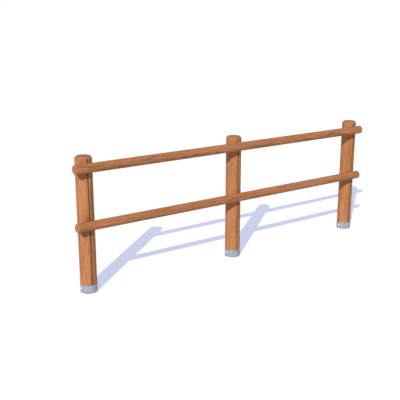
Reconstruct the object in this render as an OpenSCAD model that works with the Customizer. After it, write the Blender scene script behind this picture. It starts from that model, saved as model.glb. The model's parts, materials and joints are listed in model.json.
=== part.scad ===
// Two bays of a post-and-rail fence: round timber posts in galvanised ground
// shoes, with two round rails screwed along the front of the posts.
// Millimetres. X runs along the fence, Y from its front to its back, Z up.
// The origin is the centre of the middle shoe's underside, at ground level.

/* [Bays] */
// Distance from one post's axis to the next
post_spacing = 1500; // [600:10:2400]

/* [Posts] */
// Diameter of a turned post
post_d = 140; // [110:1:200]
// Height of a post's top above the ground
post_h = 1140; // [1115:5:1600]
// Chamfer round a post's top edge
post_chamfer = 15; // [3:1:40]
// Width of the relief groove sawn down the front of a post
groove_w = 9; // [4:0.5:12]
// Depth of the relief groove
groove_depth = 28; // [10:1:50]
// Depth of the saddle cut in a post where a rail seats
saddle_depth = 3; // [1:0.5:12]

/* [Rails] */
// Diameter of a rail
rail_d = 77; // [60:1:120]
// Height of the upper rail's axis
upper_rail_z = 1060; // [800:5:1085]
// Height of the lower rail's axis
lower_rail_z = 591; // [150:1:900]
// How far the rails run on past the left post's axis
left_overhang = 134; // [25:1:400]
// How far the rails run on past the right post's axis
right_overhang = 52; // [25:1:400]
// Chamfer round a rail's ends
rail_chamfer = 7; // [2:0.5:15]

/* [Shoes] */
// Height of a shoe's rim above the ground
shoe_h = 70; // [60:1:120]
// Thickness of a shoe's wall
shoe_wall = 5; // [3:0.5:10]
// Thickness of a shoe's base
shoe_base = 12; // [6:1:25]
// How far a shoe stands proud of the wood above it
shoe_proud = 1; // [0:0.5:5]
// Radius round a shoe's bottom edge
shoe_round = 6; // [2:0.5:10]
// Diameter of the hole for a ground anchor, tapped through the base
anchor_hole_d = 17.5; // [10:0.5:26]
// Diameter of the ground anchor's rod, which stands up into a pocket in the post
anchor_rod_d = 20; // [12:0.5:30]

/* [Shoe bolts] */
// Height of a shoe bolt's axis
shoe_bolt_z = 40; // [36:1:52]
// Diameter of a shoe bolt's shank
shoe_bolt_d = 10; // [6:1:12]
// Diameter of its mushroom head
bolt_head_d = 20; // [16:1:26]
// Height of that head
bolt_head_h = 6; // [3:0.5:9]
// Width across the flats of its cap nut
nut_flats = 17; // [16:1:19]
// Height of the cap nut's hexagon
nut_hex_h = 8; // [6:0.5:10]
// Height of the dome on the cap nut
nut_dome_h = 8; // [4:0.5:8]
// Depth of the flat that is faced on the shoe for head and nut
face_depth = 1.2; // [1:0.1:2]

/* [Rail screws] */
// Diameter of a rail screw's shank
screw_d = 12; // [8:1:14]
// How far a rail screw bites into the rail
screw_bite = 52; // [30:1:68]
// Length of its point
screw_point = 12; // [6:1:18]
// Width across the flats of its head
screw_flats = 19; // [17:1:22]
// Height of its head
screw_head_h = 8; // [5:0.5:10]
// Diameter of the washer under the head
washer_d = 34; // [26:1:40]
// Thickness of that washer
washer_t = 3; // [2:0.5:4]
// Depth of the recess in the back of the post for head and washer
recess_depth = 16; // [14:1:30]

/* [Clearances] */
// Gap between pieces that seat on each other
seat_gap = 0.3; // [0.1:0.1:0.6]
// Gap all round a shank in its hole
hole_gap = 0.3; // [0.1:0.1:0.8]
// Gap all round a head, nut or washer in its recess
recess_gap = 1; // [0.5:0.5:3]

/* [Hidden] */
$fn = 96;
post_r = post_d / 2;
rail_r = rail_d / 2;
groove_top_z = post_h - post_chamfer;
rail_y = saddle_depth - post_r - rail_r;
rail_length = left_overhang + 2 * post_spacing + right_overhang;
shoe_r = post_r + shoe_proud;
shoe_inner_r = shoe_r - shoe_wall;
tenon_r = shoe_inner_r - seat_gap;
tenon_z = shoe_base + seat_gap;
shoulder_z = shoe_h + seat_gap;
anchor_pocket_z = tenon_z + 40;
bolt_face = shoe_r - face_depth;
nut_corner_r = nut_flats / 2 / cos(30);
nut_face = bolt_face + seat_gap;
nut_dome_r = nut_flats / 2 - 0.5;
faced_r = max(bolt_head_d / 2, nut_corner_r) + recess_gap;
screw_corner_r = screw_flats / 2 / cos(30);
recess_r = washer_d / 2 + recess_gap;
recess_y = post_r - recess_depth;
washer_y = recess_y + seat_gap;
screw_head_y = washer_y + washer_t + seat_gap;
screw_tip_y = rail_y + rail_r - screw_bite;
// How far a blind hole goes on past the point that it holds
hole_end_gap = 3;
// How far a cutting shape stands out of the face that it cuts
over = 5;

// ---- Where things go ----

// Stands its children on the axis of a post: side is -1 left, 0 middle, 1 right
module at_post(side) {
    translate([side * post_spacing, 0, 0]) children();
}

// Turns what is made along +Z to run towards +X, -X or +Y
module to_plus_x() { rotate([0, 90, 0]) children(); }
module to_minus_x() { rotate([0, -90, 0]) children(); }
module to_plus_y() { rotate([-90, 0, 0]) children(); }

// ---- Posts ----

// A turned post: shouldered tenon in the shoe, chamfered top
module post_blank() {
    rotate_extrude()
        polygon([
            [0, tenon_z],
            [tenon_r, tenon_z],
            [tenon_r, shoulder_z],
            [post_r, shoulder_z],
            [post_r, post_h - post_chamfer],
            [post_r - post_chamfer, post_h],
            [0, post_h]
        ]);
}

// The saw cut that lets the post dry without splitting
module relief_groove() {
    translate([-groove_w / 2, -post_r - over, tenon_z - over])
        cube([groove_w, groove_depth + over, groove_top_z - tenon_z + over]);
}

// All that is cut from a post for one rail: saddle, screw hole and recess
module rail_cuts(z) {
    translate([-post_d, rail_y, z])
        to_plus_x() cylinder(r = rail_r + seat_gap, h = 2 * post_d);
    translate([0, -post_d, z])
        to_plus_y() cylinder(d = screw_d + 2 * hole_gap, h = 2 * post_d);
    translate([0, recess_y, z])
        to_plus_y() cylinder(r = recess_r, h = recess_depth + over);
}

module shoe_bolt_hole() {
    translate([-post_d, 0, shoe_bolt_z])
        to_plus_x() cylinder(d = shoe_bolt_d + 2 * hole_gap, h = 2 * post_d);
}

module anchor_pocket() {
    translate([0, 0, tenon_z - over])
        cylinder(d = anchor_rod_d + 2 * recess_gap, h = anchor_pocket_z - tenon_z + over);
}

module post(side) {
    color([0.80, 0.54, 0.37])
        at_post(side)
        difference() {
            post_blank();
            relief_groove();
            rail_cuts(upper_rail_z);
            rail_cuts(lower_rail_z);
            shoe_bolt_hole();
            anchor_pocket();
        }
}

module left_post() { post(-1); }
module middle_post() { post(0); }
module right_post() { post(1); }

// ---- Rails ----

// A turned rail with chamfered ends, laid along X
module rail_blank() {
    to_plus_x()
        rotate_extrude()
        polygon([
            [0, 0],
            [rail_r - rail_chamfer, 0],
            [rail_r, rail_chamfer],
            [rail_r, rail_length - rail_chamfer],
            [rail_r - rail_chamfer, rail_length],
            [0, rail_length]
        ]);
}

module rail(z) {
    color([0.74, 0.48, 0.33])
        difference() {
            translate([-post_spacing - left_overhang, rail_y, z]) rail_blank();
            for (side = [-1, 0, 1])
                at_post(side)
                    translate([0, screw_tip_y - hole_end_gap, z])
                        to_plus_y()
                            cylinder(d = screw_d + 2 * hole_gap, h = rail_d);
        }
}

module upper_rail() { rail(upper_rail_z); }
module lower_rail() { rail(lower_rail_z); }

// ---- Shoes ----

// Half the section of a shoe: a cup with a rounded bottom edge
module shoe_section() {
    difference() {
        union() {
            square([shoe_r - shoe_round, shoe_h]);
            translate([0, shoe_round]) square([shoe_r, shoe_h - shoe_round]);
            translate([shoe_r - shoe_round, shoe_round]) circle(r = shoe_round);
        }
        translate([-over, shoe_base]) square([shoe_inner_r + over, shoe_h]);
    }
}

module shoe(side) {
    color([0.70, 0.72, 0.77])
        at_post(side)
        difference() {
            rotate_extrude() shoe_section();
            translate([0, 0, -over]) cylinder(d = anchor_hole_d, h = shoe_base + 2 * over);
            shoe_bolt_hole();
            translate([bolt_face, 0, shoe_bolt_z])
                to_plus_x() cylinder(r = faced_r, h = over);
            translate([-bolt_face, 0, shoe_bolt_z])
                to_minus_x() cylinder(r = faced_r, h = over);
        }
}

module left_shoe() { shoe(-1); }
module middle_shoe() { shoe(0); }
module right_shoe() { shoe(1); }

// ---- Shoe bolts and cap nuts ----

// A round cap of base radius r and height h, standing on its flat side
module dome(r, h) {
    ball_r = (r * r + h * h) / (2 * h);
    rotate_extrude()
        intersection() {
            translate([0, h - ball_r]) circle(r = ball_r);
            square([r, h]);
        }
}

// Mushroom head on the left of the shoe, shank right through to the cap nut
module shoe_bolt(side) {
    shank = 2 * bolt_face + seat_gap + nut_hex_h;
    color([0.86, 0.87, 0.90])
        at_post(side)
        translate([-bolt_face - seat_gap, 0, shoe_bolt_z]) {
            to_minus_x() dome(bolt_head_d / 2, bolt_head_h);
            translate([-seat_gap, 0, 0]) to_plus_x() cylinder(d = shoe_bolt_d, h = shank);
        }
}

module cap_nut(side) {
    color([0.86, 0.87, 0.90])
        at_post(side)
        translate([nut_face, 0, shoe_bolt_z])
        to_plus_x()
        difference() {
            union() {
                cylinder(r = nut_corner_r, h = nut_hex_h, $fn = 6);
                translate([0, 0, nut_hex_h]) dome(nut_dome_r, nut_dome_h);
            }
            translate([0, 0, -over])
                cylinder(d = shoe_bolt_d + 2 * hole_gap, h = nut_hex_h + hole_gap + over);
        }
}

module left_shoe_bolt() { shoe_bolt(-1); }
module middle_shoe_bolt() { shoe_bolt(0); }
module right_shoe_bolt() { shoe_bolt(1); }
module left_cap_nut() { cap_nut(-1); }
module middle_cap_nut() { cap_nut(0); }
module right_cap_nut() { cap_nut(1); }

// ---- Rail screws and their washers ----

// Hexagon head in the recess at the back of the post, point in the rail
module rail_screw(side, z) {
    neck_y = screw_tip_y + screw_point;
    color([0.62, 0.63, 0.66])
        at_post(side)
        translate([0, 0, z]) {
            translate([0, screw_head_y, 0])
                to_plus_y() cylinder(r = screw_corner_r, h = screw_head_h, $fn = 6);
            translate([0, neck_y, 0])
                to_plus_y() cylinder(d = screw_d, h = screw_head_y - neck_y + seat_gap);
            translate([0, screw_tip_y, 0])
                to_plus_y() cylinder(r1 = 1, r2 = screw_d / 2, h = screw_point);
        }
}

module washer(side, z) {
    color([0.66, 0.67, 0.70])
        at_post(side)
        translate([0, washer_y, z])
        to_plus_y()
        difference() {
            cylinder(d = washer_d, h = washer_t);
            translate([0, 0, -over]) cylinder(d = screw_d + 2 * hole_gap, h = washer_t + 2 * over);
        }
}

module left_upper_screw() { rail_screw(-1, upper_rail_z); }
module middle_upper_screw() { rail_screw(0, upper_rail_z); }
module right_upper_screw() { rail_screw(1, upper_rail_z); }
module left_lower_screw() { rail_screw(-1, lower_rail_z); }
module middle_lower_screw() { rail_screw(0, lower_rail_z); }
module right_lower_screw() { rail_screw(1, lower_rail_z); }
module left_upper_washer() { washer(-1, upper_rail_z); }
module middle_upper_washer() { washer(0, upper_rail_z); }
module right_upper_washer() { washer(1, upper_rail_z); }
module left_lower_washer() { washer(-1, lower_rail_z); }
module middle_lower_washer() { washer(0, lower_rail_z); }
module right_lower_washer() { washer(1, lower_rail_z); }

left_post();
middle_post();
right_post();
upper_rail();
lower_rail();
left_shoe();
middle_shoe();
right_shoe();
left_shoe_bolt();
middle_shoe_bolt();
right_shoe_bolt();
left_cap_nut();
middle_cap_nut();
right_cap_nut();
left_upper_screw();
middle_upper_screw();
right_upper_screw();
left_lower_screw();
middle_lower_screw();
right_lower_screw();
left_upper_washer();
middle_upper_washer();
right_upper_washer();
left_lower_washer();
middle_lower_washer();
right_lower_washer();
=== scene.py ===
import json
import math
import random

import bpy
import numpy as np
from mathutils import Matrix, Vector, noise

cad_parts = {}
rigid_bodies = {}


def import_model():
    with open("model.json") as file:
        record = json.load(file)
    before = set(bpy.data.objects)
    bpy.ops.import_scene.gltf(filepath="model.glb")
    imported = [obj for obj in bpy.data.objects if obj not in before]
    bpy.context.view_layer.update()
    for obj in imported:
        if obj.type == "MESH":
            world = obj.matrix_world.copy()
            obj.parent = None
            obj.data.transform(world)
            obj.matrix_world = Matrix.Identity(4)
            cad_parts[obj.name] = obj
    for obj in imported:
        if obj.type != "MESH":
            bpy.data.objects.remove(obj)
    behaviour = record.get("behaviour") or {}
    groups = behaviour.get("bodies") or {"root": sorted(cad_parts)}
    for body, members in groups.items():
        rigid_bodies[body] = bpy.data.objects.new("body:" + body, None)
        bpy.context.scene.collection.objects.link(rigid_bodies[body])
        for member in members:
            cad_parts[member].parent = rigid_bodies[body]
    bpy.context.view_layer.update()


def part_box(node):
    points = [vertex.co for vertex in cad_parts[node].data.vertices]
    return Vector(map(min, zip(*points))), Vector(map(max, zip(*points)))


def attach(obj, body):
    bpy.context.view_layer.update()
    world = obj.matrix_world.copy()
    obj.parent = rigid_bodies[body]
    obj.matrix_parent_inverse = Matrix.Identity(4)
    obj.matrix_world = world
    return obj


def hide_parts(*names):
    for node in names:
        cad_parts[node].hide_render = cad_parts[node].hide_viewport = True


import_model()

# ---------------------------------------------------------------------------
# Shoes: thick steel cups, hot-dip galvanised, one under each post.
# Each is turned with a rounded bottom edge, bored for the ground anchor and
# the shoe bolt, and faced flat where the bolt's head and nut sit.
# ---------------------------------------------------------------------------

SIDES = ("left", "middle", "right")
SEAT_GAP = 0.0003
SHOE_WALL = 0.005
SHOE_BASE = 0.012
SHOE_ROUND = 0.006
SHOE_RIM_ROUND = 0.0012
ANCHOR_HOLE_RADIUS = 0.00875
BOLT_HOLE_RADIUS = 0.0053
FACED_RADIUS = 0.011
FACE_DEPTH = 0.0012
CUTTER_REACH = 0.1
SHOE_SIDES = 144
# How strongly painted shade, partly dirt, darkens the wood in bored holes and recesses
CREVICE_IN_HOLES = 0.5


def find_socket(sockets, key):
    """The socket of that number, or the first working one of that name."""
    if isinstance(key, int):
        return sockets[key]
    return next(socket for socket in sockets if socket.enabled and socket.name == key)


def fill_inputs(tree, node, inputs):
    """Joins each input to the socket given for it, or sets it to the value given for it."""
    for key, value in inputs.items():
        socket = find_socket(node.inputs, key)
        if isinstance(value, bpy.types.NodeSocket):
            tree.links.new(value, socket)
        else:
            socket.default_value = value


def add_node(tree, kind, inputs=(), **settings):
    """Adds a node, sets its properties, and fills its inputs by name or number."""
    node = tree.nodes.new(kind)
    for name, value in settings.items():
        setattr(node, name, value)
    fill_inputs(tree, node, dict(inputs))
    return node


def maths(tree, operation, first, second=0.0, clamp=False):
    """One step of arithmetic on numbers or sockets, giving the socket of its answer."""
    node = add_node(
        tree, "ShaderNodeMath", {0: first, 1: second}, operation=operation, use_clamp=clamp,
    )
    return node.outputs[0]


def weighted_sum(tree, start, *terms, clamp=False):
    """start plus each (socket, weight) pair's product."""
    total = start
    for socket, weight in terms:
        product = {0: socket, 1: weight, 2: total}
        total = add_node(tree, "ShaderNodeMath", product, operation="MULTIPLY_ADD").outputs[0]
    return maths(tree, "ADD", total, 0.0, clamp=True) if clamp else total


def vector_maths(tree, operation, first, second=(0.0, 0.0, 0.0)):
    """One step of arithmetic on vectors, giving the socket of its answer."""
    node = add_node(tree, "ShaderNodeVectorMath", {0: first, 1: second}, operation=operation)
    return node.outputs["Value" if operation == "LENGTH" else "Vector"]


def noise_at(tree, vector, scale=1.0, detail=3.0, roughness=0.5):
    """A noise node read at the vector times the scale, which may differ by axis."""
    if isinstance(scale, tuple):
        vector, scale = vector_maths(tree, "MULTIPLY", vector, scale), 1.0
    return add_node(
        tree, "ShaderNodeTexNoise",
        {"Vector": vector, "Scale": scale, "Detail": detail, "Roughness": roughness},
    )


def wobble_at(tree, vector, scale, detail, reach):
    """A vector that wanders about zero, up to half the reach to each side."""
    wander = noise_at(tree, vector, scale, detail).outputs["Color"]
    wander = vector_maths(tree, "SUBTRACT", wander, (0.5, 0.5, 0.5))
    return vector_maths(tree, "MULTIPLY", wander, reach)


def fade(tree, value, start, end):
    """0 where the value is start, 1 where it is end, and smooth between them."""
    node = add_node(
        tree, "ShaderNodeMapRange",
        {"Value": value, "From Min": start, "From Max": end, "To Min": 0.0, "To Max": 1.0},
        interpolation_type="SMOOTHSTEP",
    )
    return node.outputs["Result"]


def blend_colours(tree, share, first, second):
    """The first colour where the share is 0, the second where it is 1, and a mix between."""
    node = add_node(tree, "ShaderNodeMix", data_type="RGBA")
    fill_inputs(tree, node, {"Factor": share, "A": first, "B": second})
    return find_socket(node.outputs, "Result")


def new_group(name, kind, inputs, outputs):
    """An empty node group: inputs are name: (kind, value or None), outputs are name: kind."""
    tree = bpy.data.node_groups.new(name, kind)
    for label, (sort, value) in inputs.items():
        socket = tree.interface.new_socket(label, in_out="INPUT", socket_type="NodeSocket" + sort)
        if value is not None:
            socket.default_value = value
    for label, sort in outputs.items():
        tree.interface.new_socket(label, in_out="OUTPUT", socket_type="NodeSocket" + sort)
    given = tree.nodes.new("NodeGroupInput").outputs
    result = tree.nodes.new("NodeGroupOutput").inputs
    return tree, given, result


def use_group(tree, group, **inputs):
    """The outputs of a group put in a material's tree, with its inputs joined or filled."""
    node = tree.nodes.new("ShaderNodeGroup")
    node.node_tree = group
    named = {name.replace("_", " ").title(): value for name, value in inputs.items()}
    fill_inputs(tree, node, named)
    return node.outputs


def srgb(red, green, blue):
    """A colour written in 0-255 display values, as linear RGBA."""
    shares = (red / 255, green / 255, blue / 255)
    linear = [c / 12.92 if c <= 0.04045 else ((c + 0.055) / 1.055) ** 2.4 for c in shares]
    return (*linear, 1.0)


def new_material(slot):
    """A material to build up as one of the fence's finishes, with its tree and its shader."""
    material = bpy.data.materials.new(slot + "_finish")
    material["slot"] = slot
    material.use_nodes = True
    return material, material.node_tree, material.node_tree.nodes["Principled BSDF"]


def make_zinc_coat():
    """A zinc coat: frosty crystals, a cloudy dulled film, fine scratches and a grain for bump."""
    tree, given, result = new_group(
        "zinc_coat", "ShaderNodeTree",
        {"Place": ("Vector", None), "Crystal Size": ("Float", 0.012)},
        {"Crystal": "Float", "Film": "Float", "Scratch": "Float", "Relief": "Float"},
    )
    place = given["Place"]

    # Crystals: cells with ragged edges, each of one tone
    ragged = wobble_at(tree, place, 90.0, 2.0, reach=(0.008, 0.008, 0.008))
    bent = vector_maths(tree, "ADD", place, ragged)
    fine = maths(tree, "DIVIDE", 1.0, given["Crystal Size"])
    cells = add_node(tree, "ShaderNodeTexVoronoi", {"Vector": bent, "Scale": fine}, feature="F1")
    crystal = add_node(tree, "ShaderNodeSeparateColor", {0: cells.outputs["Color"]}).outputs[0]

    # Film in clouds, and scratches that lie level and come in groups
    film = fade(tree, noise_at(tree, place, 24.0, 4.0, 0.6).outputs[0], 0.38, 0.66)
    lines = noise_at(tree, place, (140.0, 140.0, 2600.0), 2.0, 0.6).outputs[0]
    lines = fade(tree, lines, 0.66, 0.72)
    groups = fade(tree, noise_at(tree, place, 60.0).outputs[0], 0.5, 0.62)
    scratch = maths(tree, "MULTIPLY", lines, groups)

    pitting = noise_at(tree, place, 900.0, 3.0, 0.6).outputs[0]
    relief = weighted_sum(tree, 0.0, (pitting, 0.6), (film, 0.25), (crystal, 0.15), (scratch, -0.25))
    for name, socket in (
        ("Crystal", crystal), ("Film", film), ("Scratch", scratch), ("Relief", relief),
    ):
        tree.links.new(socket, result[name])
    return tree


zinc_coat = make_zinc_coat()


def zinc_material(name, pale, dark, crystal_size, metallic, roughness, soiled_up_to=0.0):
    """Zinc-coated steel, with soil splashed up from the ground if soiled_up_to is above 0."""
    material, tree, shader = new_material(name)
    place = add_node(tree, "ShaderNodeTexCoord").outputs["Object"]
    coat = use_group(tree, zinc_coat, place=place, crystal_size=crystal_size)
    tone = weighted_sum(tree, 0.1, (coat["Crystal"], 0.45), (coat["Film"], 0.4), clamp=True)
    colour = blend_colours(tree, tone, pale, dark)
    scratched = maths(tree, "MULTIPLY", coat["Scratch"], 0.5)
    colour = blend_colours(tree, scratched, colour, srgb(222, 226, 234))
    rough = weighted_sum(tree, roughness, (coat["Film"], 0.16), (coat["Scratch"], -0.15))
    if soiled_up_to:
        height = add_node(tree, "ShaderNodeSeparateXYZ", {0: place}).outputs[2]
        ragged = noise_at(tree, place, 120.0, 4.0, 0.7).outputs[0]
        edge = maths(tree, "MULTIPLY", ragged, soiled_up_to * 1.6)
        splash = fade(tree, maths(tree, "SUBTRACT", height, edge), 0.004, -soiled_up_to * 0.7)
        splash = maths(tree, "MULTIPLY", splash, 0.6)
        specks = fade(tree, noise_at(tree, place, 420.0, 2.0).outputs[0], 0.60, 0.68)
        specks = maths(tree, "MULTIPLY", specks, 0.18)
        soil = maths(tree, "MAXIMUM", splash, specks)
        colour = blend_colours(tree, soil, colour, srgb(112, 106, 104))
        rough = weighted_sum(tree, rough, (soil, 0.2))
    tree.links.new(colour, shader.inputs["Base Color"])
    tree.links.new(rough, shader.inputs["Roughness"])
    shader.inputs["Metallic"].default_value = metallic
    bump = add_node(
        tree, "ShaderNodeBump", {"Height": coat["Relief"], "Strength": 0.35, "Distance": 0.0004},
    )
    tree.links.new(bump.outputs["Normal"], shader.inputs["Normal"])
    return material


def rounded_outline(corners, closed, steps=4):
    """An outline through (radius, height, rounding) corners, each rounded to its own radius."""
    outline = []
    for number, (radius, height, rounding) in enumerate(corners):
        here = Vector((radius, height))
        is_end = not closed and number in (0, len(corners) - 1)
        if rounding == 0 or is_end:
            outline.append(here)
            continue
        back = (Vector(corners[number - 1][:2]) - here).normalized()
        ahead = (Vector(corners[(number + 1) % len(corners)][:2]) - here).normalized()
        half = back.angle(ahead) / 2
        centre = here + (back + ahead).normalized() * rounding / math.sin(half)
        start = here + back * rounding / math.tan(half) - centre
        end = here + ahead * rounding / math.tan(half) - centre
        sweep = start.angle_signed(end)
        for step in range(steps + 1):
            turned = start.copy()
            turned.rotate(Matrix.Rotation(-sweep * step / steps, 2))
            outline.append(centre + turned)
    return outline


def turned_ring(name, outline, sides):
    """The solid that a closed outline of (radius, height) points makes round the Z axis."""
    vertices = []
    faces = []
    count = len(outline)
    for side in range(sides):
        angle = 2 * math.pi * side / sides
        vertices += [(r * math.cos(angle), r * math.sin(angle), z) for r, z in outline]
        here, beside = side * count, (side + 1) % sides * count
        for place in range(count):
            after = (place + 1) % count
            faces.append((here + place, beside + place, beside + after, here + after))
    mesh = bpy.data.meshes.new(name)
    mesh.from_pydata(vertices, [], faces)
    return mesh


def cylinder_cutter(radius, start, end, sides=64):
    """A closed cylinder from the point start to the point end, marked as a crevice where painted
    shade darkens the wood.
    """
    start, end = Vector(start), Vector(end)
    lay = (end - start).to_track_quat("Z", "Y")
    vertices = []
    for centre in (start, end):
        for side in range(sides):
            angle = 2 * math.pi * side / sides
            spoke = Vector((radius * math.cos(angle), radius * math.sin(angle), 0.0))
            vertices.append(centre + lay @ spoke)
    faces = [tuple(reversed(range(sides))), tuple(range(sides, 2 * sides))]
    for side in range(sides):
        beside = (side + 1) % sides
        faces.append((side, beside, beside + sides, side + sides))
    mesh = bpy.data.meshes.new("cutter")
    mesh.from_pydata(vertices, [], faces)
    crevice = mesh.attributes.new("crevice", "FLOAT", "POINT")
    crevice.data.foreach_set("value", np.full(len(vertices), CREVICE_IN_HOLES, np.float32))
    return mesh


def cut_away(mesh, cutters):
    """The mesh with each cutter's shape taken out of it."""
    bench = bpy.context.scene.collection.objects
    holder = bpy.data.objects.new("being_cut", mesh)
    bench.link(holder)
    tools = [bpy.data.objects.new("cutter", cutter) for cutter in cutters]
    for tool in tools:
        bench.link(tool)
        modifier = holder.modifiers.new("cut", "BOOLEAN")
        modifier.operation = "DIFFERENCE"
        modifier.solver = "EXACT"
        modifier.object = tool
    solved = holder.evaluated_get(bpy.context.evaluated_depsgraph_get())
    result = bpy.data.meshes.new_from_object(solved)
    for item in [holder, *tools]:
        bpy.data.objects.remove(item)
    return result


def finish_piece(mesh, name, material, stands_for, sharp_degrees=35):
    """Makes the mesh a piece of the fence, in place of the nodes that it stands for."""
    mesh.name = name
    mesh.materials.clear()
    mesh.materials.append(material)
    mesh.shade_smooth()
    mesh.set_sharp_from_angle(angle=math.radians(sharp_degrees))
    piece = bpy.data.objects.new(name, mesh)
    bpy.context.scene.collection.objects.link(piece)
    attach(piece, "root")
    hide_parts(*stands_for)
    return piece


galvanised_steel = zinc_material(
    "galvanised_steel", pale=srgb(186, 190, 200), dark=srgb(154, 159, 172),
    crystal_size=0.011, metallic=0.15, roughness=0.5, soiled_up_to=0.012,
)

for side in SIDES:
    low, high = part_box(side + "_shoe")
    axis_x = (low.x + high.x) / 2
    radius = (high.y - low.y) / 2
    bore = radius - SHOE_WALL
    # The bolts all lie at one height, and the posts are bored along the same way
    bolt_low, bolt_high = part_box(side + "_shoe_bolt")
    bolt_z = (bolt_low.z + bolt_high.z) / 2
    bolt_way = ((-CUTTER_REACH, 0.0, bolt_z), (CUTTER_REACH, 0.0, bolt_z))
    outline = rounded_outline([
        (ANCHOR_HOLE_RADIUS, 0.0, 0.0008),
        (radius, 0.0, SHOE_ROUND),
        (radius, high.z, SHOE_RIM_ROUND),
        (bore, high.z, SHOE_RIM_ROUND),
        (bore, SHOE_BASE, 0.0),
        (ANCHOR_HOLE_RADIUS, SHOE_BASE, 0.0008),
    ], closed=True, steps=6)
    cup = turned_ring(side + "_shoe_cup", outline, SHOE_SIDES)
    cutters = [cylinder_cutter(BOLT_HOLE_RADIUS, *bolt_way)]
    for outer_end in bolt_way:
        face = math.copysign(radius - FACE_DEPTH, outer_end[0])
        cutters.append(cylinder_cutter(FACED_RADIUS, (face, 0.0, bolt_z), outer_end))
    cup = cut_away(cup, cutters)
    cup.transform(Matrix.Translation((axis_x, 0.0, 0.0)))
    finish_piece(cup, side + "_shoe_cup", galvanised_steel, [side + "_shoe"])

# ---------------------------------------------------------------------------
# Posts: round softwood posts, turned to one diameter, with a chamfered top and
# a relief groove sawn down the front so that they dry without splitting.
# Each is shouldered at its foot, stands in its shoe and is stained and oiled.
# ---------------------------------------------------------------------------

POST_COLUMNS = 132
FRONT_COLUMNS = (-3, -2, -1, 0, 1, 2, 3)
GROOVE_WIDTH = 0.009
GROOVE_DEPTH = 0.028
GROOVE_LIP = 0.0007
POST_CHAMFER = 0.015
POST_UNEVENNESS = 0.0004
ANCHOR_POCKET_RADIUS = 0.011
ANCHOR_POCKET_DEPTH = 0.040
RECESS_GAP = 0.001
CRACK_LEAST_WIDTH = 0.00044
# A chamfer of 45 degrees faces this much outwards and this much along the pole
SLOPE = math.sqrt(0.5)


def make_timber_figure():
    """Growth rings about a wandering pith, solid through the wood, with fibres, patches and knots."""
    tree, given, result = new_group(
        "timber_figure", "ShaderNodeTree",
        {
            "Grain": ("Vector", None),
            "Ring Width": ("Float", 0.005),
            "Pith Offset": ("Vector", (0.012, 0.006, 0.0)),
            "Knot Share": ("Float", 0.15),
        },
        {
            "Latewood": "Float", "Streak": "Float", "Fibre": "Float", "Fleck": "Float",
            "Patch": "Float", "Knot": "Float", "Relief": "Float",
        },
    )
    grain = given["Grain"]

    # How far each place is from the pith, which wanders as the tree grew
    wander = wobble_at(tree, grain, (0.0, 0.0, 2.3), 2.0, reach=(0.016, 0.016, 0.0))
    swirl = wobble_at(tree, grain, (16.0, 16.0, 2.6), 3.0, reach=(0.011, 0.011, 0.0))
    from_pith = vector_maths(tree, "SUBTRACT", grain, given["Pith Offset"])
    from_pith = vector_maths(tree, "ADD", from_pith, wander)
    from_pith = vector_maths(tree, "ADD", from_pith, swirl)
    from_pith = vector_maths(tree, "MULTIPLY", from_pith, (1.0, 1.0, 0.0))
    radius = vector_maths(tree, "LENGTH", from_pith)

    # Some cells of a stretched cell pattern hold a knot, and the rings bend round it
    cell_place = vector_maths(tree, "MULTIPLY", grain, (13.0, 13.0, 6.5))
    cells = add_node(tree, "ShaderNodeTexVoronoi", {"Vector": cell_place, "Scale": 1.0}, feature="F1")
    chance = add_node(tree, "ShaderNodeSeparateColor", {0: cells.outputs["Color"]}).outputs[0]
    chosen = maths(tree, "LESS_THAN", chance, given["Knot Share"])
    knot = maths(tree, "MULTIPLY", fade(tree, cells.outputs["Distance"], 0.13, 0.07), chosen)
    bend = maths(tree, "MULTIPLY", fade(tree, cells.outputs["Distance"], 0.5, 0.06), chosen)
    radius = weighted_sum(tree, radius, (bend, 0.009))

    # A ring darkens slowly to its latewood and then the next one starts pale
    turns = maths(tree, "DIVIDE", radius, given["Ring Width"])
    share = maths(tree, "FRACT", turns)
    rise = maths(tree, "POWER", share, 2.6)
    rise = maths(tree, "MULTIPLY", rise, fade(tree, share, 1.0, 0.93))
    year = add_node(
        tree, "ShaderNodeTexWhiteNoise", {"W": maths(tree, "FLOOR", turns)}, noise_dimensions="1D",
    )
    darkness = weighted_sum(tree, 0.3, (year.outputs["Value"], 0.7))
    latewood = maths(tree, "MULTIPLY", rise, darkness)

    streak = noise_at(tree, grain, (150.0, 150.0, 4.5), 3.0, 0.6).outputs[0]
    fibre = noise_at(tree, grain, (700.0, 700.0, 18.0), 5.0, 0.72).outputs[0]
    fleck = noise_at(tree, grain, (95.0, 95.0, 28.0), 3.0, 0.7).outputs[0]
    patch = noise_at(tree, grain, (11.0, 11.0, 3.2), 3.0, 0.55).outputs[0]
    relief = weighted_sum(
        tree, 0.0, (latewood, 0.55), (fibre, 0.45), (streak, 0.35), (knot, 0.25),
    )
    for name, socket in (
        ("Latewood", latewood), ("Streak", streak), ("Fibre", fibre), ("Fleck", fleck),
        ("Patch", patch), ("Knot", knot), ("Relief", relief),
    ):
        tree.links.new(socket, result[name])
    return tree


timber_figure = make_timber_figure()


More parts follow.
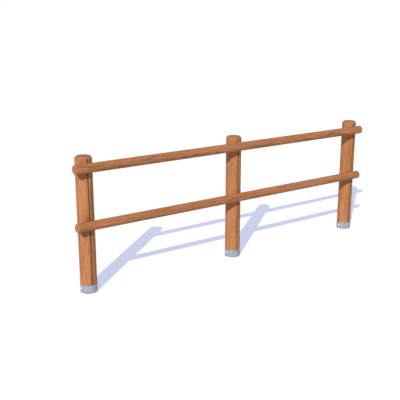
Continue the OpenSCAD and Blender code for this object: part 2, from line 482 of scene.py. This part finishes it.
def timber_material(name, pale, dark, end_pale, end_dark, ring_width, pith_offset, knot_share):
    """Stained, oiled softwood, with its own tones on sawn ends, and painted shade, partly dirt,
    darkening its cracks, grooves and holes.
    """
    material, tree, shader = new_material(name)
    grain = add_node(tree, "ShaderNodeAttribute", attribute_name="grain").outputs["Vector"]
    sawn = add_node(tree, "ShaderNodeAttribute", attribute_name="end_grain").outputs["Fac"]
    crevice = add_node(tree, "ShaderNodeAttribute", attribute_name="crevice").outputs["Fac"]
    figure = use_group(
        tree, timber_figure,
        grain=grain, ring_width=ring_width, pith_offset=pith_offset, knot_share=knot_share,
    )
    tone = weighted_sum(
        tree, -1.33,
        (figure["Latewood"], 0.6), (figure["Streak"], 1.3), (figure["Patch"], 0.55),
        (figure["Fibre"], 0.9), (figure["Fleck"], 0.6), clamp=True,
    )
    colour = blend_colours(tree, tone, pale, dark)
    knotty = maths(tree, "MULTIPLY", figure["Knot"], 0.8)
    colour = blend_colours(tree, knotty, colour, srgb(128, 72, 40))
    rings = weighted_sum(tree, -0.1, (figure["Latewood"], 1.1), (figure["Fibre"], 0.5), clamp=True)
    end_colour = blend_colours(tree, rings, end_pale, end_dark)
    colour = blend_colours(tree, maths(tree, "MULTIPLY", sawn, 0.85), colour, end_colour)
    # Painted shade, partly dirt: the marked cracks, groove and bored holes are blended towards a deep
    # brown
    painted_crevice_shade = maths(tree, "MULTIPLY", crevice, 0.8)
    colour = blend_colours(tree, painted_crevice_shade, colour, srgb(88, 54, 36))
    tree.links.new(colour, shader.inputs["Base Color"])
    rough = weighted_sum(tree, 0.46, (figure["Fibre"], 0.22), (sawn, 0.2))
    tree.links.new(rough, shader.inputs["Roughness"])
    shader.inputs["Specular IOR Level"].default_value = 0.15
    bump = add_node(
        tree, "ShaderNodeBump", {"Height": figure["Relief"], "Strength": 0.7, "Distance": 0.0009},
    )
    tree.links.new(bump.outputs["Normal"], shader.inputs["Normal"])
    return material


class Crack:
    """A drying crack along one column of a pole: it opens and closes again along its path."""

    def __init__(self, column, start, end, width, depth, drift):
        self.column = column
        self.start = start
        self.end = end
        self.width = width
        self.depth = depth
        self.drift = drift

    def opening(self, path):
        """How far open it is at each place along the path, from 0 to 1."""
        share = np.clip((path - self.start) / (self.end - self.start), 0.0, 1.0)
        return np.sin(share * math.pi) ** 0.6


def scatter_cracks(draw, columns, lowest, length, radius, side_count, end_count, kept_clear=()):
    """Side cracks anywhere along a pole, and end cracks that run over its top edge to the pith."""
    cracks = []
    taken = set(kept_clear)
    for number in range(side_count + end_count):
        column = draw.randrange(columns)
        while any((column + step) % columns in taken for step in range(-3, 4)):
            column = draw.randrange(columns)
        taken.add(column)
        reach = draw.uniform(0.07, 0.26)
        if number < side_count:
            start = draw.uniform(lowest, length - reach - 0.03)
            end = start + reach
            width = draw.uniform(0.0005, 0.0011)
        else:
            start, end = length - reach * 0.7, length + radius * 0.8
            width = draw.uniform(0.0009, 0.0016)
        depth = draw.uniform(0.002, 0.0045)
        drift = draw.uniform(-0.0012, 0.0012)
        cracks.append(Crack(column, start, end, width, depth, drift))
    return cracks


class Station:
    """One ring of points up a pole: its place, how its surface faces, its share of end grain."""

    def __init__(self, height, radius, outward=1.0, upward=0.0, sawn=0.0):
        self.height = height
        self.radius = radius
        self.outward = outward
        self.upward = upward
        self.sawn = sawn


def pole_grid(stations, column_count, cracks, unevenness, seed):
    """Points by station and column, how open a crack is at each, and each column's own number."""
    heights = np.array([station.height for station in stations])
    radii = np.array([station.radius for station in stations])
    outward = np.array([station.outward for station in stations])
    upward = np.array([station.upward for station in stations])

    # The way along the surface, set to equal the height where the flat end begins
    path = np.concatenate([[0.0], np.cumsum(np.hypot(np.diff(heights), np.diff(radii)))])
    path += heights.max() - path[np.argmax(heights >= heights.max() - 1e-9)]

    # A cracked column becomes three: the two lips of the crack and its bottom between them
    crack_at = {crack.column: crack for crack in cracks}
    full = radii.max()
    columns = []
    for column in range(column_count):
        crack = crack_at.get(column)
        columns += [(column, crack, side) for side in ((-1, 0, 1) if crack else (0,))]
    points = np.zeros((len(stations), len(columns), 3))
    openness = np.zeros((len(stations), len(columns)))
    for place, (column, crack, side) in enumerate(columns):
        angle = np.full(len(stations), 2 * math.pi * column / column_count)
        inset = np.zeros(len(stations))
        if crack:
            opening = crack.opening(path)
            width = np.maximum(crack.width * opening, CRACK_LEAST_WIDTH)
            angle += side * width / 2 / np.maximum(radii, full * 0.4)
            angle += crack.drift / full * np.sin(path * 9.0 + column)
            # The bottom of a crack is marked for painted shade, partly dirt, as far as the crack is
            # open
            if side == 0:
                inset = crack.depth * opening
                openness[:, place] = opening
        # The surface is a little uneven, except in the middle of an end
        wave = np.array([
            noise.noise(Vector((math.cos(a) * 1.7, math.sin(a) * 1.7, h * 5.0 + seed * 7.3)))
            for a, h in zip(angle, heights)
        ])
        inset = inset + unevenness * (0.5 + 0.5 * wave) * (radii > full * 0.8)
        reach = np.where(radii < full * 0.05, radii, np.maximum(radii - inset * outward, 0.0002))
        points[:, place, 0] = reach * np.sin(angle)
        points[:, place, 1] = -reach * np.cos(angle)
        points[:, place, 2] = heights - inset * upward
    return points, openness, [column for column, _, _ in columns]


def pole_mesh(points, masks):
    """Joins the stations' points into one closed skin, with a fan over each end."""
    station_count, count = points.shape[:2]
    vertices = np.vstack([points.reshape(-1, 3), points[0].mean(axis=0), points[-1].mean(axis=0)])
    faces = []
    foot, tip = station_count * count, station_count * count + 1
    top = (station_count - 1) * count
    for place in range(count):
        beside = (place + 1) % count
        for low in range(0, top, count):
            faces.append((low + place, low + beside, low + count + beside, low + count + place))
        faces.append((foot, beside, place))
        faces.append((tip, top + place, top + beside))
    mesh = bpy.data.meshes.new("pole")
    mesh.from_pydata([tuple(vertex) for vertex in vertices], [], faces)
    for name, values in masks.items():
        mask = mesh.attributes.new(name, "FLOAT", "POINT")
        ends = [values[0].mean(), values[-1].mean()]
        mask.data.foreach_set("value", np.concatenate([values.ravel(), ends]).astype(np.float32))
    return mesh


def mesh_points(mesh):
    """The mesh's points as rows of x, y and z."""
    flat = np.zeros(len(mesh.vertices) * 3)
    mesh.vertices.foreach_get("co", flat)
    return flat.reshape(-1, 3)


def set_grain(mesh, points_in_pole):
    """Stores where each point lies in the pole's own wood, with the pith along Z."""
    grain = mesh.attributes.new("grain", "FLOAT_VECTOR", "POINT")
    grain.data.foreach_set("vector", np.asarray(points_in_pole, np.float32).ravel())


def spread(start, end, spacing):
    """Places from start to end, both taken in, about the spacing apart."""
    return np.linspace(start, end, max(2, round((end - start) / spacing) + 1))


rails = {}
for rail_name in ("upper_rail", "lower_rail"):
    low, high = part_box(rail_name)
    rails[rail_name] = {
        "radius": (high.z - low.z) / 2,
        "y": low.y + (high.z - low.z) / 2,
        "z": (low.z + high.z) / 2,
        "start": low.x,
        "length": high.x - low.x,
    }

shoe_low, shoe_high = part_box("middle_shoe")
post_low, post_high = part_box("middle_post")
post_radius = (post_high.x - post_low.x) / 2
post_top = post_high.z
tenon_radius = (shoe_high.x - shoe_low.x) / 2 - SHOE_WALL - SEAT_GAP
tenon_foot = post_low.z
shoulder = shoe_high.z + SEAT_GAP
groove_top = post_top - POST_CHAMFER


def post_stations():
    """From the tenon's foot, over the shoulder and up the side, to the middle of the top."""
    stations = [Station(tenon_foot, r, 0.0, -1.0, 1.0) for r in (0.004, 0.03, tenon_radius - 0.001)]
    stations += [Station(z, tenon_radius) for z in spread(tenon_foot + 0.001, shoulder, 0.012)]
    stations.append(Station(shoulder, post_radius - 0.001))
    z = shoulder + 0.001
    # Stations lie close together beside a rail, where the saddle is pressed in
    while z < groove_top - 0.002:
        stations.append(Station(z, post_radius))
        by_a_rail = any(abs(z - rail["z"]) < 0.02 for rail in rails.values())
        z += 0.0016 if by_a_rail else 0.008
    stations.append(Station(groove_top - 0.0012, post_radius))
    # Twice at one height: the groove ends at the first and the chamfer starts at the second
    stations += [Station(groove_top, post_radius - 0.0003, 0.92, 0.38, 0.2) for _ in range(2)]
    for share in (0.08, 0.3, 0.55, 0.8, 0.93):
        height = post_top - POST_CHAMFER * (1 - share)
        stations.append(Station(height, post_radius - share * POST_CHAMFER, SLOPE, SLOPE, 0.45))
    stations.append(Station(post_top - 0.0003, post_radius - POST_CHAMFER - 0.0002, 0.38, 0.92, 0.8))
    flat_radius = post_radius - POST_CHAMFER - 0.0014
    for share in (1.0, 0.85, 0.7, 0.55, 0.4, 0.28, 0.16, 0.06):
        stations.append(Station(post_top, flat_radius * share, 0.0, 1.0, 1.0))
    return stations


def open_groove(points, openness, columns, stations):
    """Turns the seven front columns into the lips, walls and floor of the groove, marked for painted
    shade.
    """
    half = GROOVE_WIDTH / 2
    edge = half + GROOVE_LIP
    order = [columns.index(step % POST_COLUMNS) for step in FRONT_COLUMNS]
    when_open = (-edge, -half, -half, 0.0, half, half, edge)
    when_shut = (-edge, -half, -half / 2, 0.0, half / 2, half, edge)
    last_open = next(n for n in range(1, len(stations)) if stations[n].height >= groove_top)
    for number, station in enumerate(stations):
        if station.radius < post_radius * 0.5:
            continue
        is_open = number <= last_open
        for step, place, open_x, shut_x in zip(FRONT_COLUMNS, order, when_open, when_shut):
            x = open_x if is_open else shut_x
            y = -math.sqrt(station.radius ** 2 - x ** 2)
            # Painted shade, partly dirt: the lips take some, and the groove's walls and floor take it
            # in full
            if is_open and abs(step) == 2:
                y += GROOVE_LIP
                openness[number, place] = 0.4
            if is_open and abs(step) < 2:
                y = GROOVE_DEPTH - post_radius
                openness[number, place] = 1.0
            points[number, place] = (x, y, station.height)


def press_saddles(points):
    """Pushes the front of the post back to where the rails seat in it."""
    for rail in rails.values():
        reach = rail["radius"] + SEAT_GAP
        rise = points[..., 2] - rail["z"]
        seat = rail["y"] + np.sqrt(np.maximum(reach ** 2 - rise ** 2, 0.0))
        hit = (np.abs(rise) < reach) & (points[..., 1] < seat)
        points[..., 1] = np.where(hit, seat, points[..., 1])


post_timber = timber_material(
    "post_timber", pale=srgb(229, 156, 103), dark=srgb(152, 91, 53),
    end_pale=srgb(200, 134, 88), end_dark=srgb(120, 68, 38),
    ring_width=0.0052, pith_offset=(0.016, 0.009, 0.0), knot_share=0.06,
)

for number, side in enumerate(SIDES):
    draw = random.Random(40 + number)
    low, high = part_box(side + "_post")
    axis_x = (low.x + high.x) / 2
    cracks = scatter_cracks(
        draw, POST_COLUMNS, shoulder + 0.03, post_top, post_radius, side_count=7, end_count=4,
        kept_clear=[step % POST_COLUMNS for step in FRONT_COLUMNS],
    )
    stations = post_stations()
    points, openness, columns = pole_grid(
        stations, POST_COLUMNS, cracks, POST_UNEVENNESS, seed=3 + number,
    )
    open_groove(points, openness, columns, stations)
    press_saddles(points)
    sawn = np.array([[station.sawn] * len(columns) for station in stations])
    wood = pole_mesh(points, {"crevice": openness, "end_grain": sawn})
    pocket_end = (0.0, 0.0, tenon_foot + ANCHOR_POCKET_DEPTH)
    cutters = [
        cylinder_cutter(ANCHOR_POCKET_RADIUS, (0.0, 0.0, 0.0), pocket_end),
        cylinder_cutter(BOLT_HOLE_RADIUS, *bolt_way),
    ]
    for rail_name, rail in rails.items():
        washer_low, washer_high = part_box(side + "_" + rail_name.replace("rail", "washer"))
        radius = (washer_high.x - washer_low.x) / 2 + RECESS_GAP
        recess_floor = (0.0, washer_low.y - SEAT_GAP, rail["z"])
        cutters.append(cylinder_cutter(radius, recess_floor, (0.0, CUTTER_REACH, rail["z"])))
    wood = cut_away(wood, cutters)
    in_pole = mesh_points(wood)
    # Each post is cut from its own length of wood, turned its own way round
    turn = draw.uniform(0, 2 * math.pi)
    turned = np.stack([
        in_pole[:, 0] * math.cos(turn) - in_pole[:, 1] * math.sin(turn),
        in_pole[:, 0] * math.sin(turn) + in_pole[:, 1] * math.cos(turn),
        in_pole[:, 2] + 5.0 * (number + 1),
    ], axis=1)
    set_grain(wood, turned)
    wood.transform(Matrix.Translation((axis_x, 0.0, 0.0)))
    finish_piece(wood, side + "_post_wood", post_timber, [side + "_post"])

# ---------------------------------------------------------------------------
# Shoe bolts and cap nuts: one bolt right through each shoe and tenon, with a
# smooth mushroom head on the left and a domed nut on the right, zinc plated.
# They hold the post in its shoe.
# ---------------------------------------------------------------------------

BOLT_SHANK_RADIUS = 0.005
BOLT_HEAD_HEIGHT = 0.006
NUT_HEX_HEIGHT = 0.008
NUT_DOME_RADIUS = 0.008
HARDWARE_SIDES = 72
# Wider than any of these pieces, so that no flats are milled
NO_FLATS = 1.0


def make_turned_row():
    """Turns the outline it is given about Z, mills a hexagon on it, lays it over and repeats it."""
    tree, given, result = new_group(
        "turned_row", "GeometryNodeTree",
        {
            "Outline": ("Geometry", None),
            "Sides": ("Int", HARDWARE_SIDES),
            "Across Flats": ("Float", NO_FLATS),
            "Lay": ("Vector", None),
            "First": ("Vector", None),
            "Step": ("Vector", None),
            "Count": ("Int", 3),
            "Roll Seed": ("Int", 1),
            "Finish": ("Material", None),
        },
        {"Row": "Geometry"},
    )

    # A grid with one column for each side, and one row for each point of the outline
    size = add_node(
        tree, "GeometryNodeAttributeDomainSize", {"Geometry": given["Outline"]}, component="MESH",
    )
    rows = find_socket(size.outputs, "Point Count")
    grid = add_node(
        tree, "GeometryNodeMeshGrid",
        {"Vertices X": maths(tree, "ADD", given["Sides"], 1.0), "Vertices Y": rows},
    )
    index = tree.nodes.new("GeometryNodeInputIndex").outputs[0]
    turned = maths(tree, "DIVIDE", maths(tree, "ADD", index, 0.5), rows)
    turned = maths(tree, "FLOOR", turned)
    row = maths(tree, "SUBTRACT", index, maths(tree, "MULTIPLY", turned, rows))
    angle = maths(tree, "MULTIPLY", maths(tree, "DIVIDE", turned, given["Sides"]), 2 * math.pi)
    position = tree.nodes.new("GeometryNodeInputPosition").outputs[0]
    corner = add_node(
        tree, "GeometryNodeSampleIndex",
        {"Geometry": given["Outline"], "Value": position, "Index": row},
        data_type="FLOAT_VECTOR", domain="POINT",
    )
    place = add_node(tree, "ShaderNodeSeparateXYZ", {0: find_socket(corner.outputs, "Value")}).outputs

    # The flats: no point is further out than its side of the hexagon
    off_flat = maths(tree, "FLOORED_MODULO", angle, math.pi / 3)
    off_flat = maths(tree, "SUBTRACT", off_flat, math.pi / 6)
    limit = maths(tree, "MULTIPLY", given["Across Flats"], 0.5)
    limit = maths(tree, "DIVIDE", limit, maths(tree, "COSINE", off_flat))
    radius = maths(tree, "MINIMUM", place[0], limit)
    moved = add_node(tree, "ShaderNodeCombineXYZ", {
        0: maths(tree, "MULTIPLY", radius, maths(tree, "COSINE", angle)),
        1: maths(tree, "MULTIPLY", radius, maths(tree, "SINE", angle)),
        2: place[2],
    })
    body = add_node(
        tree, "GeometryNodeSetPosition",
        {"Geometry": find_socket(grid.outputs, "Mesh"), "Position": moved.outputs[0]},
    )
    closed = add_node(
        tree, "GeometryNodeMergeByDistance", {"Geometry": body.outputs[0], "Distance": 0.00001},
    )

    # One at each place along the row, each stopped at its own angle
    line = add_node(
        tree, "GeometryNodeMeshLine",
        {"Count": given["Count"], "Start Location": given["First"], "Offset": given["Step"]},
        mode="OFFSET",
    )
    laid = add_node(
        tree, "GeometryNodeInstanceOnPoints",
        {"Points": line.outputs[0], "Instance": closed.outputs[0], "Rotation": given["Lay"]},
    )
    stopped = add_node(
        tree, "FunctionNodeRandomValue",
        {"Min": 0.0, "Max": math.pi / 3, "Seed": given["Roll Seed"]},
        data_type="FLOAT",
    )
    roll = add_node(tree, "ShaderNodeCombineXYZ", {2: find_socket(stopped.outputs, "Value")})
    rolled = add_node(
        tree, "GeometryNodeRotateInstances",
        {"Instances": laid.outputs[0], "Rotation": roll.outputs[0], "Local Space": True},
    )
    real = add_node(tree, "GeometryNodeRealizeInstances", {"Geometry": rolled.outputs[0]})
    done = add_node(
        tree, "GeometryNodeSetMaterial",
        {"Geometry": real.outputs[0], "Material": given["Finish"]},
    )
    tree.links.new(done.outputs[0], result["Row"])
    return tree


turned_row = make_turned_row()


def turn_hardware(name, outline, finish, stands_for, across_flats, lay, first, step, roll_seed):
    """A fixing at each post, made by the turned_row tree from one outline."""
    profile = bpy.data.meshes.new(name)
    joins = [(n, n + 1) for n in range(len(outline) - 1)]
    profile.from_pydata([(r, 0.0, z) for r, z in outline], joins, [])
    maker = bpy.data.objects.new(name, profile)
    bpy.context.scene.collection.objects.link(maker)
    modifier = maker.modifiers.new("turned_row", "NODES")
    modifier.node_group = turned_row
    wanted = {
        "Sides": HARDWARE_SIDES, "Across Flats": across_flats, "Lay": lay, "First": first,
        "Step": step, "Count": len(SIDES), "Roll Seed": roll_seed, "Finish": finish,
    }
    for item in turned_row.interface.items_tree:
        if item.in_out == "INPUT" and item.name in wanted:
            modifier[item.identifier] = wanted[item.name]
    maker.update_tag()
    made = maker.evaluated_get(bpy.context.evaluated_depsgraph_get())
    row = bpy.data.meshes.new_from_object(made)
    maker.modifiers.remove(modifier)
    bpy.data.objects.remove(maker)
    return finish_piece(row, name, finish, stands_for)


def dome_outline(radius, height, base, steps=10):
    """The rest of an outline, over a round cap that starts at the radius and ends on the axis."""
    ball = (radius ** 2 + height ** 2) / (2 * height)
    reach = math.asin(radius / ball) if height < radius else math.pi / 2
    angles = [reach * (1 - step / steps) for step in range(steps)]
    dome = [(ball * math.sin(a), base + height - ball * (1 - math.cos(a))) for a in angles]
    return dome + [(0.0, base + height)]


bright_zinc = zinc_material(
    "bright_zinc", pale=srgb(242, 246, 252), dark=srgb(216, 222, 232),
    crystal_size=0.004, metallic=0.6, roughness=0.3,
)

first_low, first_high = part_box("left_shoe_bolt")
next_low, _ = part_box("middle_shoe_bolt")
post_step = (next_low.x - first_low.x, 0.0, 0.0)
head_radius = (first_high.z - first_low.z) / 2
shank_length = first_high.x - first_low.x - BOLT_HEAD_HEIGHT
bolt_outline = rounded_outline([
    (0.0, -shank_length, 0.0),
    (BOLT_SHANK_RADIUS, -shank_length, 0.0005),
    (BOLT_SHANK_RADIUS, 0.0, 0.0),
    (head_radius - 0.0004, 0.0, 0.0),
    (head_radius, 0.0004, 0.0),
], closed=False)
bolt_outline += dome_outline(head_radius, BOLT_HEAD_HEIGHT - 0.0006, 0.0006)
turn_hardware(
    "shoe_bolts", bolt_outline, bright_zinc, [side + "_shoe_bolt" for side in SIDES],
    across_flats=NO_FLATS, lay=(0.0, -math.pi / 2, 0.0), roll_seed=4,
    first=(first_low.x + BOLT_HEAD_HEIGHT, 0.0, bolt_z), step=post_step,
)

nut_low, nut_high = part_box("left_cap_nut")
nut_flats = nut_high.y - nut_low.y
nut_corner = nut_flats / 2 / math.cos(math.pi / 6)
nut_height = nut_high.x - nut_low.x
nut_outline = rounded_outline([
    (0.0, NUT_HEX_HEIGHT, 0.0),
    (BOLT_HOLE_RADIUS, NUT_HEX_HEIGHT, 0.0),
    (BOLT_HOLE_RADIUS, 0.0, 0.0004),
    (nut_corner - 0.0012, 0.0, 0.0003),
    (nut_corner - 0.0001, 0.0007, 0.0003),
    (nut_corner - 0.0001, NUT_HEX_HEIGHT - 0.0008, 0.0003),
    (NUT_DOME_RADIUS + 0.0003, NUT_HEX_HEIGHT, 0.0002),
    (NUT_DOME_RADIUS, NUT_HEX_HEIGHT + 0.0001, 0.0),
], closed=False)
dome_base = NUT_HEX_HEIGHT + 0.0001
nut_outline += dome_outline(NUT_DOME_RADIUS, nut_height - dome_base, dome_base)[1:]
turn_hardware(
    "cap_nuts", nut_outline, bright_zinc, [side + "_cap_nut" for side in SIDES],
    across_flats=nut_flats, lay=(0.0, math.pi / 2, 0.0), roll_seed=9,
    first=(nut_low.x, 0.0, bolt_z), step=post_step,
)

# ---------------------------------------------------------------------------
# Rails: two thinner turned poles with chamfered ends, each in one length over
# both bays. They seat in the posts' shallow saddles, stained like the posts.
# ---------------------------------------------------------------------------

RAIL_COLUMNS = 120
RAIL_CHAMFER = 0.007
RAIL_UNEVENNESS = 0.0003


def rail_stations(radius, length):
    """From the middle of one end, along the side, to the middle of the other end."""
    rounded = radius - RAIL_CHAMFER - 0.0002
    first_half = [
        Station(0.0, (rounded - 0.001) * share, 0.0, -1.0, 1.0)
        for share in (0.08, 0.2, 0.36, 0.52, 0.68, 0.84, 1.0)
    ]
    first_half.append(Station(0.0003, rounded, 0.38, -0.92, 0.8))
    for share in (0.1, 0.5, 0.9):
        place = RAIL_CHAMFER * share
        first_half.append(Station(place, radius - RAIL_CHAMFER + place, SLOPE, -SLOPE, 0.45))
    first_half.append(Station(RAIL_CHAMFER, radius - 0.0002, 0.92, -0.38, 0.2))
    side_start = RAIL_CHAMFER + 0.001
    side = [Station(place, radius) for place in spread(side_start, length - side_start, 0.012)]
    last_half = [
        Station(length - one.height, one.radius, one.outward, -one.upward, one.sawn)
        for one in reversed(first_half)
    ]
    return first_half + side + last_half


rail_timber = timber_material(
    "rail_timber", pale=srgb(219, 147, 99), dark=srgb(140, 83, 50),
    end_pale=srgb(222, 152, 102), end_dark=srgb(140, 82, 46),
    ring_width=0.0046, pith_offset=(0.009, 0.004, 0.0), knot_share=0.08,
)

for number, (rail_name, rail) in enumerate(rails.items()):
    draw = random.Random(70 + number)
    cracks = scatter_cracks(
        draw, RAIL_COLUMNS, 0.05, rail["length"], rail["radius"], side_count=12, end_count=3,
    )
    stations = rail_stations(rail["radius"], rail["length"])
    points, openness, columns = pole_grid(
        stations, RAIL_COLUMNS, cracks, RAIL_UNEVENNESS, seed=11 + number,
    )
    sawn = np.array([[station.sawn] * len(columns) for station in stations])
    wood = pole_mesh(points, {"crevice": openness, "end_grain": sawn})
    in_pole = mesh_points(wood)
    laid = np.stack([
        in_pole[:, 2] + rail["start"],
        in_pole[:, 0] + rail["y"],
        in_pole[:, 1] + rail["z"],
    ], axis=1)
    wood.vertices.foreach_set("co", laid.ravel())
    # Each rail is cut from its own length of wood
    in_pole[:, 2] += 31.0 + 9.0 * number
    set_grain(wood, in_pole)
    finish_piece(wood, rail_name + "_wood", rail_timber, [rail_name])

# ---------------------------------------------------------------------------
# Rail screws and washers: a hexagon-headed wood screw from the back of each
# post into each rail, its head and washer sunk in a bored recess.
# Zinc plated, in a darker and duller zinc than the shoe bolts.
# ---------------------------------------------------------------------------

SCREW_SHANK_RADIUS = 0.006
SCREW_HEAD_HEIGHT = 0.008
SCREW_POINT = 0.012
WASHER_BORE_RADIUS = 0.0063

dull_zinc = zinc_material(
    "dull_zinc", pale=srgb(176, 179, 184), dark=srgb(120, 123, 128),
    crystal_size=0.005, metallic=0.6, roughness=0.42,
)

for number, level in enumerate(("upper", "lower")):
    low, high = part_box("left_" + level + "_screw")
    flats, across_corners = sorted((high.x - low.x, high.z - low.z))
    corner = across_corners / 2
    shank = high.y - low.y - SCREW_HEAD_HEIGHT
    screw_outline = rounded_outline([
        (0.0, -shank, 0.0),
        (0.001, -shank, 0.0),
        (SCREW_SHANK_RADIUS, SCREW_POINT - shank, 0.0),
        (SCREW_SHANK_RADIUS, 0.0, 0.0),
        (corner - 0.0001, 0.0, 0.0003),
        (corner - 0.0001, SCREW_HEAD_HEIGHT - 0.0011, 0.0004),
        (flats / 2 - 0.0003, SCREW_HEAD_HEIGHT, 0.0003),
        (0.0, SCREW_HEAD_HEIGHT, 0.0),
    ], closed=False)
    centre = ((low.x + high.x) / 2, high.y - SCREW_HEAD_HEIGHT, (low.z + high.z) / 2)
    turn_hardware(
        level + "_rail_screws", screw_outline, dull_zinc,
        [f"{side}_{level}_screw" for side in SIDES],
        across_flats=flats, lay=(-math.pi / 2, 0.0, 0.0), roll_seed=20 + number,
        first=centre, step=post_step,
    )

    low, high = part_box("left_" + level + "_washer")
    thickness = high.y - low.y
    washer_radius = (high.x - low.x) / 2
    washer_outline = rounded_outline([
        (WASHER_BORE_RADIUS, 0.0, 0.0003),
        (washer_radius, 0.0, 0.0004),
        (washer_radius, thickness, 0.0004),
        (WASHER_BORE_RADIUS, thickness, 0.0003),
    ], closed=True)
    turn_hardware(
        level + "_rail_washers", washer_outline + washer_outline[:1], dull_zinc,
        [f"{side}_{level}_washer" for side in SIDES],
        across_flats=NO_FLATS, lay=(-math.pi / 2, 0.0, 0.0), roll_seed=30 + number,
        first=(centre[0], low.y, centre[2]), step=post_step,
    )

# ---------------------------------------------------------------------------
# Studio: a pale floor, one hard lamp from the front left and a soft fill.
# The lit floor shows as white and its shadow as a pale violet.
# ---------------------------------------------------------------------------

CAMERA_PLACE = (-3.8564, -4.8986, 2.2619)
CAMERA_TURN = (74.53, 0.0, -35.405)
CAMERA_LENS = 62.72
LAMP_DIRECTION = (1.1935, 0.9874, -1.0)
LAMP_STRENGTH = 2.5
LAMP_ANGLE = 0.6
FILL_STRENGTH = 0.35
FILL_COLOUR = (0.72, 0.84, 1.0, 1.0)
FLOOR_REACH = 80.0
FLOOR_DROP = 0.0005
FLOOR_LIT_COLOUR = (0.98, 0.91, 0.43, 1.0)
FLOOR_GLOW_COLOUR = (0.352, 0.374, 0.683, 1.0)
FLOOR_PLAIN_COLOUR = (0.62, 0.62, 0.64, 1.0)

camera_data = bpy.data.cameras.new("camera")
camera_data.lens = CAMERA_LENS
camera_data.sensor_width = 36.0
camera_data.clip_end = 200.0
camera = bpy.data.objects.new("camera", camera_data)
camera.location = CAMERA_PLACE
camera.rotation_euler = [math.radians(angle) for angle in CAMERA_TURN]
bpy.context.scene.collection.objects.link(camera)
bpy.context.scene.camera = camera

lamp_data = bpy.data.lights.new("lamp", "SUN")
lamp_data.energy = LAMP_STRENGTH
lamp_data.angle = math.radians(LAMP_ANGLE)
lamp = bpy.data.objects.new("lamp", lamp_data)
lamp.rotation_euler = Vector(LAMP_DIRECTION).to_track_quat("-Z", "Y").to_euler()
bpy.context.scene.collection.objects.link(lamp)


def seen_directly(tree):
    """1 for rays from the camera and those off gloss or through glass, else 0."""
    path = tree.nodes.new("ShaderNodeLightPath")
    seen = maths(tree, "MAXIMUM", path.outputs["Is Camera Ray"], path.outputs["Is Glossy Ray"])
    return maths(tree, "MAXIMUM", seen, path.outputs["Is Transmission Ray"])


world = bpy.data.worlds.new("studio")
bpy.context.scene.world = world
world.use_nodes = True
tree = world.node_tree
tree.nodes.clear()
white_back = add_node(
    tree, "ShaderNodeBackground", {"Color": (1.0, 1.0, 1.0, 1.0), "Strength": 1.0},
)
soft_fill = add_node(
    tree, "ShaderNodeBackground", {"Color": FILL_COLOUR, "Strength": FILL_STRENGTH},
)
choice = add_node(
    tree, "ShaderNodeMixShader",
    {0: seen_directly(tree), 1: soft_fill.outputs[0], 2: white_back.outputs[0]},
)
add_node(tree, "ShaderNodeOutputWorld", {"Surface": choice.outputs[0]})

floor_material = bpy.data.materials.new("floor")
floor_material.use_nodes = True
tree = floor_material.node_tree
tree.nodes.clear()
lit = add_node(tree, "ShaderNodeBsdfDiffuse", {"Color": FLOOR_LIT_COLOUR})
glow = add_node(tree, "ShaderNodeEmission", {"Color": FLOOR_GLOW_COLOUR, "Strength": 1.0})
shown = add_node(tree, "ShaderNodeAddShader", {0: lit.outputs[0], 1: glow.outputs[0]})
plain = add_node(tree, "ShaderNodeBsdfDiffuse", {"Color": FLOOR_PLAIN_COLOUR})
choice = add_node(
    tree, "ShaderNodeMixShader",
    {0: seen_directly(tree), 1: plain.outputs[0], 2: shown.outputs[0]},
)
add_node(tree, "ShaderNodeOutputMaterial", {"Surface": choice.outputs[0]})

floor_mesh = bpy.data.meshes.new("floor")
floor_corners = [
    (x * FLOOR_REACH, y * FLOOR_REACH, -FLOOR_DROP) for x, y in ((-1, -1), (1, -1), (1, 1), (-1, 1))
]
floor_mesh.from_pydata(floor_corners, [], [(0, 1, 2, 3)])
floor_mesh.materials.append(floor_material)
floor = bpy.data.objects.new("floor", floor_mesh)
bpy.context.scene.collection.objects.link(floor)

bpy.context.scene.view_settings.view_transform = "Standard"
